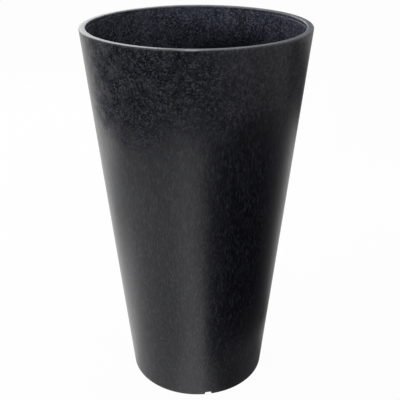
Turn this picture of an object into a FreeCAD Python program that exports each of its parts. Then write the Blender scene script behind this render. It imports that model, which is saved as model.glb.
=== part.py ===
import FreeCAD, Part
import os
import Sketcher

# A tall tapered floor planter: a straight conical pot with a flat rim land and a notched foot ring, a raised drain
# floor bonded in between two coved beads, a pull-out drain plug, and a lift-out planting shelf that wedges in the
# taper.  Millimetres, +Z up.  The origin is on the floor, at the centre of the foot ring.

# Driving dimensions.  A level is a height above the floor that the pot stands on.
DIMENSIONS = {
    # The pot's outer form.
    "pot_height": 711.2,
    "rim_radius": 203.2,
    "base_radius": 136.6,
    "foot_round": 3.0,
    # The wall.  It thickens towards the rim above the blend level.
    "wall": 9.0,
    "blend_level": 600.0,
    "rim_land": 11.8,
    "rim_round_outer": 2.5,
    "rim_round_inner": 2.0,
    "lip_depth": 6.5,
    "lip_ledge": 1.0,
    # The drain notches in the foot ring, wider at the floor than at their crown.
    "notch_width": 15.0,
    "notch_crown": 11.0,
    "notch_rise": 7.0,
    "notch_count": 4,
    # The raised floor, dished towards its drain hole, with a boss below the hole.
    "floor_level": 34.0,
    "floor_thickness": 8.0,
    "floor_dish": 3.0,
    "floor_margin": 16.0,
    "bond_gap": 0.2,
    "bead_leg": 12.0,
    "bead_cove": 16.0,
    "bead_hollow": 2.0,
    "drain_radius": 12.5,
    "boss_radius": 26.0,
    "boss_depth": 6.0,
    "boss_round": 2.0,
    "seat_radius": 19.0,
    "seat_depth": 2.5,
    # The plug: a stem in the hole, a flange on the seat, and a mushroom grip.
    "running_gap": 0.3,
    "plug_stem_length": 11.0,
    "plug_stem_chamfer": 1.5,
    "plug_flange": 3.5,
    "plug_flange_round": 1.2,
    "plug_neck_radius": 5.0,
    "plug_neck_length": 7.0,
    "plug_grip_radius": 9.0,
    "plug_grip_depth": 9.0,
    "plug_grip_round": 3.0,
    # The shelf: a ribbed, perforated disc with a bearing band at its edge and a collared lift hole.
    "shelf_level": 400.0,
    "shelf_plate": 5.0,
    "shelf_rib_depth": 12.0,
    "shelf_rib_width": 3.0,
    "shelf_rib_count": 16,
    "shelf_band": 4.0,
    "shelf_ring_radius": 98.0,
    "lift_radius": 30.0,
    "collar_wall": 4.0,
    "collar_rise": 6.0,
    "collar_round": 1.5,
    "hole_radius": 4.0,
    "hole_ring_inner": 66.0,
    "hole_ring_middle": 116.0,
    "hole_ring_outer": 144.0,
    # How far a cutting form reaches past the face that it starts from.
    "overshoot": 1.0,
}

# The smallest difference of length, area or volume that counts.
TOLERANCE = 1e-3

doc = FreeCAD.newDocument("Planter")
sheet = doc.addObject("Spreadsheet::Sheet", "Sizes")
for row, (alias, number) in enumerate(DIMENSIONS.items(), start=1):
    sheet.set(f"A{row}", alias.replace("_", " "))
    sheet.set(f"B{row}", str(number))
    sheet.setAlias(f"B{row}", alias)
doc.recompute()


# ---- expressions on the sheet ------------------------------------------------------------------------------------

def size(alias):
    """The expression of one cell of the sheet."""
    if alias not in DIMENSIONS:
        raise KeyError(alias)
    return f"Sizes.{alias}"


HEIGHT = size("pot_height")
OUTER_SLOPE = f"(({size('rim_radius')} - {size('base_radius')}) / {HEIGHT})"
RIM_INNER = f"({size('rim_radius')} - {size('rim_land')})"
FLOOR_TOP = size("floor_level")
FLOOR_BOTTOM = f"({FLOOR_TOP} - {size('floor_thickness')})"
SEAT_LEVEL = f"({FLOOR_TOP} - {size('floor_dish')} - {size('seat_depth')})"
SHELF_TOP = size("shelf_level")
SHELF_UNDERSIDE = f"({SHELF_TOP} - {size('shelf_plate')})"
SHELF_BOTTOM = f"({SHELF_UNDERSIDE} - {size('shelf_rib_depth')})"
COLLAR_RADIUS = f"({size('lift_radius')} + {size('collar_wall')})"


def outer_radius(level):
    """The pot's outer radius at a level."""
    return f"({size('base_radius')} + {OUTER_SLOPE} * ({level}))"


def inner_radius(level):
    """The pot's inner radius at a level below the blend to the rim."""
    return f"({outer_radius(level)} - {size('wall')})"


def panel_radius(level):
    """The floor panel's edge, a bond line inside the wall."""
    return f"({inner_radius(level)} - {size('bond_gap')})"


def shelf_radius(level):
    """The shelf's edge, a running gap inside the wall."""
    return f"({inner_radius(level)} - {size('running_gap')})"


def number_of(expression):
    """The value of an expression on the sheet."""
    return float(sheet.evalExpression(expression))


# ---- sketches and features ---------------------------------------------------------------------------------------

def new_body(label):
    """An empty body for one piece of the planter."""
    body = doc.addObject("PartDesign::Body", label)
    body.Label = label
    return body


def new_sketch(body, name, role):
    """An empty sketch on one of the body's own origin planes."""
    plane = next(item for item in body.Origin.OriginFeatures if item.Role == role)
    sketch = body.newObject("Sketcher::SketchObject", name)
    sketch.AttachmentSupport = (plane, [""])
    sketch.MapMode = "FlatFace"
    return sketch


def bind(sketch, kind, geometry, point, expression):
    """Constrain one point's coordinate, or one curve's radius, to an expression."""
    where = (geometry,) if point is None else (geometry, point)
    index = sketch.addConstraint(Sketcher.Constraint(kind, *where, number_of(expression)))
    sketch.setExpression(f"Constraints[{index}]", expression)


def polygon_sketch(body, name, role, corners):
    """A closed outline of straight lines, each corner given by two expressions."""
    sketch = new_sketch(body, name, role)
    points = [FreeCAD.Vector(number_of(across), number_of(up), 0) for across, up in corners]
    count = len(points)
    for index in range(count):
        sketch.addGeometry(Part.LineSegment(points[index], points[(index + 1) % count]), False)
    for index in range(count):
        sketch.addConstraint(Sketcher.Constraint("Coincident", index, 2, (index + 1) % count, 1))
    for index, (across, up) in enumerate(corners):
        bind(sketch, "DistanceX", index, 1, across)
        bind(sketch, "DistanceY", index, 1, up)
    return sketch


def circle_sketch(body, name, role, centre, radius):
    """A circle given by the expressions of its centre and radius."""
    sketch = new_sketch(body, name, role)
    middle = FreeCAD.Vector(number_of(centre[0]), number_of(centre[1]), 0)
    circle = Part.Circle(middle, FreeCAD.Vector(0, 0, 1), number_of(radius))
    sketch.addGeometry(circle, False)
    bind(sketch, "Radius", 0, None, radius)
    bind(sketch, "DistanceX", 0, 3, centre[0])
    bind(sketch, "DistanceY", 0, 3, centre[1])
    return sketch


def revolve(body, name, sketch):
    """Turn a sketch on the XZ plane once around the pot's axis."""
    feature = body.newObject("PartDesign::Revolution", name)
    feature.Profile = sketch
    feature.ReferenceAxis = (sketch, ["V_Axis"])
    feature.Angle = 360.0
    doc.recompute()
    return feature


def groove(body, name, sketch):
    """Cut a ring whose section is a sketch on the XZ plane."""
    before = body.Shape.Volume
    feature = body.newObject("PartDesign::Groove", name)
    feature.Profile = sketch
    feature.ReferenceAxis = (sketch, ["V_Axis"])
    feature.Angle = 360.0
    doc.recompute()
    must_shrink(body, before, name)
    return feature


def pocket(body, name, sketch, length):
    """Cut a sketch into the body, to a length given by an expression."""
    before = body.Shape.Volume
    feature = body.newObject("PartDesign::Pocket", name)
    feature.Profile = sketch
    feature.Type = "Length"
    feature.setExpression("Length", length)
    doc.recompute()
    must_shrink(body, before, name)
    return feature


def must_shrink(body, before, name):
    """Stop if a cut took nothing away."""
    if body.Shape.Volume > before - TOLERANCE:
        raise RuntimeError(f"{name} cuts nothing")


def pad(body, name, sketch, length):
    """Raise a sketch by a length given by an expression."""
    feature = body.newObject("PartDesign::Pad", name)
    feature.Profile = sketch
    feature.setExpression("Length", length)
    doc.recompute()
    return feature


def around_axis(body, name, feature, count):
    """Repeat a feature evenly around the pot's axis."""
    before = body.Shape.Volume
    pattern = body.newObject("PartDesign::PolarPattern", name)
    pattern.Originals = [feature]
    z_axis = next(item for item in body.Origin.OriginFeatures if item.Role == "Z_Axis")
    pattern.Axis = (z_axis, [""])
    pattern.Angle = 360.0
    pattern.setExpression("Occurrences", count)
    body.Tip = pattern
    doc.recompute()
    if abs(body.Shape.Volume - before) < TOLERANCE:
        raise RuntimeError(f"{name} repeats nothing")
    return pattern


def circle_edges(shape, radius, level):
    """The names of the shape's circular edges of a radius at a level."""
    names = []
    for index, edge in enumerate(shape.Edges, start=1):
        curve = edge.Curve
        if isinstance(curve, Part.Circle) and abs(curve.Radius - radius) < TOLERANCE:
            if abs(curve.Center.z - level) < TOLERANCE:
                names.append(f"Edge{index}")
    if not names:
        raise RuntimeError(f"no circular edge of radius {radius:.2f} at level {level:.2f}")
    return names


def dress_edge(body, kind, name, radius, level, amount):
    """Fillet or chamfer the circular edge of a radius at a level, all given by expressions."""
    base = body.Tip
    edges = circle_edges(body.Shape, number_of(radius), number_of(level))
    feature = body.newObject(f"PartDesign::{kind}", name)
    feature.Base = (base, edges)
    feature.setExpression("Radius" if kind == "Fillet" else "Size", amount)
    doc.recompute()
    return feature


# ---- the pieces --------------------------------------------------------------------------------------------------

def planter_shell():
    """The pot: outer cone, rim land with a small ledge inside it, wall, and the notched foot ring."""
    body = new_body("planter_shell")
    ledge_level = f"({HEIGHT} - {size('lip_depth')})"
    blend = size("blend_level")
    revolve(body, "ShellWall", polygon_sketch(body, "ShellSection", "XZ_Plane", [
        (size("base_radius"), "0"),
        (size("rim_radius"), HEIGHT),
        (RIM_INNER, HEIGHT),
        (RIM_INNER, ledge_level),
        (f"{RIM_INNER} - {size('lip_ledge')}", ledge_level),
        (inner_radius(blend), blend),
        (inner_radius("0"), "0"),
    ]))
    dress_edge(body, "Fillet", "RimOuterRound", size("rim_radius"), HEIGHT, size("rim_round_outer"))
    dress_edge(body, "Fillet", "RimInnerRound", RIM_INNER, HEIGHT, size("rim_round_inner"))
    dress_edge(body, "Fillet", "FootRound", size("base_radius"), "0", size("foot_round"))

    half_width = f"{size('notch_width')} / 2"
    half_crown = f"{size('notch_crown')} / 2"
    slope = f"({half_width} - {half_crown}) / {size('notch_rise')}"
    notch_foot = f"(-{size('overshoot')})"
    foot_half = f"({half_width} - ({slope}) * ({notch_foot}))"
    sketch = polygon_sketch(body, "NotchSection", "XZ_Plane", [
        (f"-{foot_half}", notch_foot),
        (foot_half, notch_foot),
        (half_crown, size("notch_rise")),
        (f"-{half_crown}", size("notch_rise")),
    ])
    notch = pocket(body, "Notch", sketch, f"{size('base_radius')} + {size('wall')}")
    around_axis(body, "Notches", notch, size("notch_count"))
    return body


def floor_panel():
    """The drain floor: dished to the drain hole, flat where the upper bead sits, with a boss and the plug's seat."""
    body = new_body("floor_panel")
    dish_level = f"({FLOOR_TOP} - {size('floor_dish')})"
    margin = f"({panel_radius(FLOOR_TOP)} - {size('floor_margin')})"
    boss_level = f"({FLOOR_BOTTOM} - {size('boss_depth')})"
    revolve(body, "Panel", polygon_sketch(body, "PanelSection", "XZ_Plane", [
        (size("drain_radius"), boss_level),
        (size("boss_radius"), boss_level),
        (size("boss_radius"), FLOOR_BOTTOM),
        (panel_radius(FLOOR_BOTTOM), FLOOR_BOTTOM),
        (panel_radius(FLOOR_TOP), FLOOR_TOP),
        (margin, FLOOR_TOP),
        (f"{size('seat_radius')} + {size('seat_depth')}", dish_level),
        (size("seat_radius"), dish_level),
        (size("seat_radius"), SEAT_LEVEL),
        (size("drain_radius"), SEAT_LEVEL),
    ]))
    dress_edge(body, "Fillet", "BossRound", size("boss_radius"), boss_level, size("boss_round"))
    return body


def floor_bead(label, level, direction):
    """A coved bead in the corner of wall and floor.  Direction is 1 above the floor and -1 below it."""
    body = new_body(label)
    leg = size("bead_leg")
    wall_end = f"({level} + {direction} * {leg})"
    inner = f"({inner_radius(level)} - {leg})"
    revolve(body, f"{label}_ring", polygon_sketch(body, f"{label}_section", "XZ_Plane", [
        (inner, level),
        (inner_radius(level), level),
        (inner_radius(wall_end), wall_end),
    ]))
    # The cove's circle bites into the middle of the bead's sloping side, along the corner's diagonal.
    offset = f"(({size('bead_cove')} - {size('bead_hollow')}) / sqrt(2))"
    middle_radius = f"(({inner} + {inner_radius(wall_end)}) / 2)"
    middle_level = f"(({level} + {wall_end}) / 2)"
    centre = (f"({middle_radius} - {offset})", f"({middle_level} + {direction} * {offset})")
    groove(body, f"{label}_cove", circle_sketch(body, f"{label}_circle", "XZ_Plane", centre,
                                               size("bead_cove")))
    return body


def drain_plug():
    """The plug: a chamfered stem, a flange on the floor's seat, a neck and a rounded grip."""
    body = new_body("drain_plug")
    stem_radius = f"({size('drain_radius')} - {size('running_gap')})"
    flange_radius = f"({size('seat_radius')} - {size('running_gap')})"
    flange_top = f"({SEAT_LEVEL} + {size('plug_flange')})"
    grip_bottom = f"({flange_top} + {size('plug_neck_length')})"
    grip_top = f"({grip_bottom} + {size('plug_grip_depth')})"
    stem_bottom = f"({SEAT_LEVEL} - {size('plug_stem_length')})"
    revolve(body, "PlugTurned", polygon_sketch(body, "PlugSection", "XZ_Plane", [
        ("0", stem_bottom),
        (stem_radius, stem_bottom),
        (stem_radius, SEAT_LEVEL),
        (flange_radius, SEAT_LEVEL),
        (flange_radius, flange_top),
        (size("plug_neck_radius"), flange_top),
        (size("plug_neck_radius"), grip_bottom),
        (size("plug_grip_radius"), grip_bottom),
        (size("plug_grip_radius"), grip_top),
        ("0", grip_top),
    ]))
    dress_edge(body, "Chamfer", "StemLead", stem_radius, stem_bottom, size("plug_stem_chamfer"))
    dress_edge(body, "Fillet", "GripRound", size("plug_grip_radius"), grip_top, size("plug_grip_round"))
    dress_edge(body, "Fillet", "FlangeRound", flange_radius, flange_top, size("plug_flange_round"))
    return body


def planting_shelf():
    """The lift-out shelf: plate, bearing band, collar, ring rib, radial ribs and drain holes."""
    body = new_body("planting_shelf")
    band = size("shelf_band")
    rib_half = f"{size('shelf_rib_width')} / 2"
    ring_inner = f"({size('shelf_ring_radius')} - {rib_half})"
    ring_outer = f"({size('shelf_ring_radius')} + {rib_half})"
    collar_top = f"({SHELF_TOP} + {size('collar_rise')})"
    revolve(body, "ShelfTurned", polygon_sketch(body, "ShelfSection", "XZ_Plane", [
        (size("lift_radius"), SHELF_BOTTOM),
        (COLLAR_RADIUS, SHELF_BOTTOM),
        (COLLAR_RADIUS, SHELF_UNDERSIDE),
        (ring_inner, SHELF_UNDERSIDE),
        (ring_inner, SHELF_BOTTOM),
        (ring_outer, SHELF_BOTTOM),
        (ring_outer, SHELF_UNDERSIDE),
        (f"{shelf_radius(SHELF_UNDERSIDE)} - {band}", SHELF_UNDERSIDE),
        (f"{shelf_radius(SHELF_BOTTOM)} - {band}", SHELF_BOTTOM),
        (shelf_radius(SHELF_BOTTOM), SHELF_BOTTOM),
        (shelf_radius(SHELF_TOP), SHELF_TOP),
        (COLLAR_RADIUS, SHELF_TOP),
        (COLLAR_RADIUS, collar_top),
        (size("lift_radius"), collar_top),
    ]))
    dress_edge(body, "Fillet", "CollarOuterRound", COLLAR_RADIUS, collar_top, size("collar_round"))
    dress_edge(body, "Fillet", "CollarInnerRound", size("lift_radius"), collar_top, size("collar_round"))

    # One radial rib from the collar to the bearing band, then all of them.
    rib_start = f"({COLLAR_RADIUS} - {size('collar_wall')} / 2)"
    rib_end = f"({shelf_radius(SHELF_BOTTOM)} - {band} / 2)"
    sketch = polygon_sketch(body, "RibPlan", "XY_Plane", [
        (rib_start, f"-{rib_half}"),
        (rib_end, f"-{rib_half}"),
        (rib_end, rib_half),
        (rib_start, rib_half),
    ])
    sketch.setExpression(".AttachmentOffset.Base.z", SHELF_BOTTOM)
    doc.recompute()
    rib = pad(body, "Rib", sketch, f"{size('shelf_rib_depth')} + {size('shelf_plate')} / 2")
    around_axis(body, "Ribs", rib, size("shelf_rib_count"))

    # Rings of drain holes.  The inner and middle rings have one hole in each cell, the outer ring two.
    for ring, holes_per_cell in (("inner", 1), ("middle", 1), ("outer", 2)):
        count = f"{size('shelf_rib_count')} * {holes_per_cell}"
        turn = f"180 / ({count})"
        reach = size(f"hole_ring_{ring}")
        centre = (f"{reach} * cos({turn})", f"{reach} * sin({turn})")
        plan = circle_sketch(body, f"HolePlan_{ring}", "XY_Plane", centre, size("hole_radius"))
        plan.setExpression(".AttachmentOffset.Base.z", f"{SHELF_TOP} + {size('overshoot')}")
        doc.recompute()
        hole = pocket(body, f"Hole_{ring}", plan, f"{size('shelf_plate')} + 2 * {size('overshoot')}")
        around_axis(body, f"Holes_{ring}", hole, count)
    return body


pieces = [
    planter_shell(),
    floor_panel(),
    floor_bead("floor_bead_upper", FLOOR_TOP, 1),
    floor_bead("floor_bead_lower", FLOOR_BOTTOM, -1),
    drain_plug(),
    planting_shelf(),
]
doc.recompute()

for item in doc.Objects:
    if "Invalid" in item.State or "Error" in item.State:
        raise RuntimeError(f"{item.Label} failed: {item.State}")
for piece in pieces:
    if piece.Shape.isNull() or not piece.Shape.isValid() or not piece.Shape.Solids:
        raise RuntimeError(f"{piece.Label} has no valid solid")

os.makedirs("parts", exist_ok=True)
for piece in pieces:
    piece.Shape.exportStep(os.path.join("parts", f"{piece.Label}.step"))
    box = piece.Shape.optimalBoundingBox()
    print(f"{piece.Label}: {len(piece.Shape.Solids)} solid, {piece.Shape.Volume / 1000:.1f} cm3, "
          f"{box.XLength:.1f} x {box.YLength:.1f} x {box.ZLength:.1f} mm from z {box.ZMin:.2f}")
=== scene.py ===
"""Dresses a tall tapered planter of charcoal composite and lights it in a plain pale studio.

Lengths are in metres and levels are heights above the floor that the planter stands on.
"""

import logging
import math
from dataclasses import dataclass, field
from enum import Enum
from typing import Iterable, Mapping, Optional, Sequence, Union

import bpy
from bpy.types import ID, Material, Mesh, NodeSocket, NodeTree, Object
from mathutils import Matrix, Vector


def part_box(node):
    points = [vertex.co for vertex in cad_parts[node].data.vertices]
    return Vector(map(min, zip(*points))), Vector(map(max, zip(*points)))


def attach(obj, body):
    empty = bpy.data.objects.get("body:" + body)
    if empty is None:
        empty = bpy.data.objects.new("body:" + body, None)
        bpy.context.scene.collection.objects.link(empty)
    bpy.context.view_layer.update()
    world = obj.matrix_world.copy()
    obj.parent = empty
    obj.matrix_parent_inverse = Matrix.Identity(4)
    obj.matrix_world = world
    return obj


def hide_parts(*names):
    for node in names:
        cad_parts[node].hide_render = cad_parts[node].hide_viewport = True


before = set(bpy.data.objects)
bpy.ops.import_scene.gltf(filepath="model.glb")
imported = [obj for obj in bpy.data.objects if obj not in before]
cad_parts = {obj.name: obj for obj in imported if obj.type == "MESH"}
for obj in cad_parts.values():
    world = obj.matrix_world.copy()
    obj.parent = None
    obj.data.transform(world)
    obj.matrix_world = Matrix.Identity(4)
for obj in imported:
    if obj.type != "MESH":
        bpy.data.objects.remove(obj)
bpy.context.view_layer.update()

LOG = logging.getLogger("planter")
MM = 0.001
WHITE = (1.0, 1.0, 1.0)

Colour = tuple[float, float, float]
Feed = Union["Value", float, int, bool, str, Sequence[float], Material]
Feeds = Mapping[Union[str, int], Feed]


class Body(Enum):
    """The rigid bodies that the pieces ride on."""

    PLANTER = "planter"
    PLUG = "plug"
    SHELF = "shelf"


class Slot(Enum):
    """The finishes that the record names."""

    COMPOSITE = "shell_composite"
    LAMINATE = "floor_laminate"
    RESIN = "bonding_resin"
    RUBBER = "plug_rubber"
    MOULDED = "shelf_plastic"


# ---- node trees as expressions ----

class Value:
    """An output socket that adds Math nodes to its tree when it is used in an expression."""

    def __init__(self, graph: "Graph", socket: Optional[NodeSocket]) -> None:
        """Wrap a socket of a graph."""
        self.graph = graph
        self.socket = socket

    def out(self, name: Union[str, int]) -> "Value":
        """Another output of the same node, by its name or place."""
        return Value(self.graph, self.socket.node.outputs[name])

    def _math(self, operation: str, *values: Feed, clamp: bool = False) -> "Value":
        """The result of one Math node, whose inputs are the values in their order."""
        feeds = dict(enumerate(values))
        return self.graph.node("ShaderNodeMath", feeds, operation=operation, use_clamp=clamp)

    def __add__(self, other: Feed) -> "Value":
        """Sum."""
        return self._math("ADD", self, other)

    __radd__ = __add__

    def __mul__(self, other: Feed) -> "Value":
        """Product."""
        return self._math("MULTIPLY", self, other)

    __rmul__ = __mul__

    def __sub__(self, other: Feed) -> "Value":
        """Difference."""
        return self._math("SUBTRACT", self, other)

    def __rsub__(self, other: Feed) -> "Value":
        """Difference, the other way round."""
        return self._math("SUBTRACT", other, self)

    def __truediv__(self, other: Feed) -> "Value":
        """Quotient."""
        return self._math("DIVIDE", self, other)

    def __rtruediv__(self, other: Feed) -> "Value":
        """Quotient, the other way round."""
        return self._math("DIVIDE", other, self)

    def __pow__(self, other: Feed) -> "Value":
        """Power."""
        return self._math("POWER", self, other)

    def call(self, operation: str, *others: Feed) -> "Value":
        """Any other Math operation, such as SINE or ARCTAN2, on this value and others."""
        return self._math(operation, self, *others)

    def unit(self) -> "Value":
        """This value kept between 0 and 1."""
        return self._math("ADD", self, 0.0, clamp=True)

    def rise(self, low: float, high: float) -> "Value":
        """A smooth step.

        Args:
            low: where the step starts; it is 0 up to there.
            high: where the step ends; it is 1 from there. It may be below low, for a step down.

        Returns:
            The step's height, from 0 to 1.
        """
        if low > high:
            return 1.0 - self.rise(high, low)
        feeds = {"Value": self, "From Min": low, "From Max": high}
        return self.graph.node("ShaderNodeMapRange", feeds, interpolation_type="SMOOTHSTEP")


class Graph:
    """A node tree, and the one way in which nodes are added to it."""

    def __init__(self, tree: NodeTree) -> None:
        """Start on a tree."""
        self.tree = tree

    def node(self, kind: str, feeds: Optional[Feeds] = None, **settings: object) -> Value:
        """Add a node.

        Args:
            kind: the node's type.
            feeds: a value or a link for each input, by name or place.
            settings: its properties, which are set first.

        Returns:
            The node's first output, if it has any.
        """
        made = self.tree.nodes.new(kind)
        for name, setting in settings.items():
            setattr(made, name, setting)
        for name, feed in (feeds or {}).items():
            self._feed(made.inputs[name], feed)
        return Value(self, made.outputs[0] if made.outputs else None)

    def _feed(self, socket: NodeSocket, feed: Feed) -> None:
        """Link a value to an input, or set the input's own value."""
        if isinstance(feed, Value):
            self.tree.links.new(feed.socket, socket)
        elif socket.type == "RGBA" and len(feed) == 3:
            socket.default_value = (*feed, 1.0)
        else:
            socket.default_value = feed

    def vector(self, x: Feed, y: Feed, z: Feed) -> Value:
        """A vector from its three parts."""
        return self.node("ShaderNodeCombineXYZ", {0: x, 1: y, 2: z})

    def parts(self, vector: Value) -> tuple[Value, Value, Value]:
        """The three parts of a vector."""
        made = self.node("ShaderNodeSeparateXYZ", {0: vector})
        return made.out("X"), made.out("Y"), made.out("Z")

    def radial(self, x: Value, y: Value, least: float = 0.0) -> tuple[Value, Value, Value]:
        """A point's distance from the axis, plus the least one, and the X and Y of the way out to it."""
        across = (x * x + y * y).call("SQRT") + least
        return across, x / across, y / across

    def noise(self, place: Value, size: Feed, detail: float = 2.0, roughness: float = 0.5) -> Value:
        """Noise about 0.5, in clouds of a size in metres; its detail is how many finer layers it has."""
        feeds = {"Vector": place, "Scale": 1.0 / size, "Detail": detail, "Roughness": roughness}
        return self.node("ShaderNodeTexNoise", feeds)

    def grains(self, place: Value, size: float) -> tuple[Value, Value]:
        """Cells of a size: the distance from a cell's middle, in cell widths, and a value of its own."""
        cell = self.node("ShaderNodeTexVoronoi", {"Vector": place, "Scale": 1.0 / size})
        return cell.out("Distance"), self.node("ShaderNodeSeparateColor", {0: cell.out("Color")})

    def blend(self, factor: Feed, first: Feed, second: Feed) -> Value:
        """Two colours mixed: the first at factor 0, the second at factor 1."""
        return self.node("ShaderNodeMix", {0: factor, 6: first, 7: second}, data_type="RGBA").out(2)


class Coat(Graph):
    """The node tree of a surface's material."""

    def __init__(self, name: str) -> None:
        """Start an empty material."""
        self.material = bpy.data.materials.new(name)
        self.material.use_nodes = True
        super().__init__(self.material.node_tree)
        self.tree.nodes.clear()

    def place(self) -> Value:
        """The point of the surface, in the planter's own frame."""
        return self.node("ShaderNodeTexCoord").out("Object")

    def relief(self, height: Value, depth: float, strength: float) -> Value:
        """The normal under a relief, whose height is 0 to 1 and whose depth is in metres."""
        return self.node("ShaderNodeBump", {"Strength": strength, "Distance": depth, "Height": height})

    def glow(self, brightness: float) -> Value:
        """A shader that shines white; its brightness is 1 for white paper in plain light."""
        return self.node("ShaderNodeEmission", {"Color": WHITE, "Strength": brightness})

    def mixed(self, factor: Feed, first: Value, second: Value) -> Value:
        """Two shaders mixed: the first at factor 0, the second at factor 1."""
        return self.node("ShaderNodeMixShader", {0: factor, 1: first, 2: second})

    def close(self, shader: Value) -> Material:
        """Close the tree with a shader."""
        self.node("ShaderNodeOutputMaterial", {"Surface": shader})
        return self.material

    def finish(self, surface: Mapping[str, Feed]) -> Material:
        """Close the tree with one Principled surface, in which a plain number is the same all over."""
        return self.close(self.node("ShaderNodeBsdfPrincipled", surface))


class Form(Graph):
    """A Geometry Nodes tree with named inputs for its sizes."""

    SOCKETS = {float: "NodeSocketFloat", int: "NodeSocketInt", Material: "NodeSocketMaterial"}
    SHARP_ANGLE = math.radians(38.0)
    OFF_AXIS = 1e-6

    def __init__(self, name: str) -> None:
        """Start a tree that takes a mesh and gives one back."""
        super().__init__(bpy.data.node_groups.new(name, "GeometryNodeTree"))
        for end in ("INPUT", "OUTPUT"):
            self.tree.interface.new_socket(name="Geometry", in_out=end, socket_type="NodeSocketGeometry")
        self.entry = self.tree.nodes.new("NodeGroupInput")

    def given(self, name: str = "Geometry", kind: type = float) -> Value:
        """An input of the tree, which is added if it is new.

        Args:
            name: the input's name.
            kind: float, int or Material, for a new input.

        Returns:
            The input's value.
        """
        if name not in self.entry.outputs:
            self.tree.interface.new_socket(name=name, in_out="INPUT", socket_type=self.SOCKETS[kind])
        return Value(self, self.entry.outputs[name])

    def here(self) -> Value:
        """Each point's position."""
        return self.node("GeometryNodeInputPosition")

    def position(self) -> tuple[Value, Value, Value]:
        """The parts of each point's position."""
        return self.parts(self.here())

    def circle(self, steps: int, radius: Feed) -> Value:
        """A round curve about the origin."""
        return self.node("GeometryNodeCurvePrimitiveCircle", {"Resolution": steps, "Radius": radius})

    def shifted(self, mesh: Value, name: str, amount: Value) -> Value:
        """A mesh moved whole, by its Translation, or turned whole, by its Rotation."""
        return self.node("GeometryNodeTransform", {"Geometry": mesh, name: amount})

    def turned_copies(self, copy: Value, count: Feed, radius: Feed, turn: Feed = 0.0) -> Value:
        """Copies of a mesh or curve evenly round the planter's axis, each facing out along its own X.

        Args:
            copy: what is repeated, made at the origin.
            count: how many copies there are.
            radius: how far from the axis they are.
            turn: how far the first one is turned from the X axis, in radians.

        Returns:
            The copies, as instances.
        """
        ring = self.node("GeometryNodeMeshCircle", {"Vertices": count, "Radius": radius})
        turned = self.shifted(ring, "Rotation", self.vector(0.0, 0.0, turn))
        x, y, _ = self.position()
        facing = self.vector(0.0, 0.0, y.call("ARCTAN2", x))
        feeds = {"Points": turned, "Instance": copy, "Rotation": facing}
        return self.node("GeometryNodeInstanceOnPoints", feeds)

    def joined(self, *pieces: Value) -> Value:
        """Several geometries as one."""
        join = self.node("GeometryNodeJoinGeometry")
        for piece in pieces:
            self.tree.links.new(piece.socket, join.socket.node.inputs[0])
        return join

    def moved(self, mesh: Value, offset: Value) -> Value:
        """A mesh with its points moved."""
        return self.node("GeometryNodeSetPosition", {"Geometry": mesh, "Offset": offset})

    def merged(self, mesh: Value, distance: float) -> Value:
        """A mesh with the points merged that lie within a distance."""
        return self.node("GeometryNodeMergeByDistance", {"Geometry": mesh, "Distance": distance})

    def real(self, copies: Value) -> Value:
        """Instances as real geometry."""
        return self.node("GeometryNodeRealizeInstances", {"Geometry": copies})

    def close(self, mesh: Value) -> NodeTree:
        """End the tree: real instances, smooth faces with sharp edges kept, and the material."""
        smooth = self.node("GeometryNodeSetShadeSmooth", {"Geometry": self.real(mesh)}, domain="FACE")
        angle = self.node("GeometryNodeInputMeshEdgeAngle")
        is_sharp = self.node("FunctionNodeCompare", {0: angle, 1: self.SHARP_ANGLE}, operation="GREATER_THAN")
        feeds = {"Geometry": smooth, "Selection": is_sharp, "Shade Smooth": False}
        edged = self.node("GeometryNodeSetShadeSmooth", feeds, domain="EDGE")
        feeds = {"Geometry": edged, "Material": self.given("Material", Material)}
        self.node("NodeGroupOutput", {"Geometry": self.node("GeometryNodeSetMaterial", feeds)})
        return self.tree


# ---- finishes ----

@dataclass(frozen=True)
class PaleMark:
    """A pale mark on the wall, used for smudges and for painted highlights: its angle in degrees, its level,
    half width, half height and strength.
    """

    angle: float
    level: float
    width: float
    height: float
    strength: float


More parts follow.
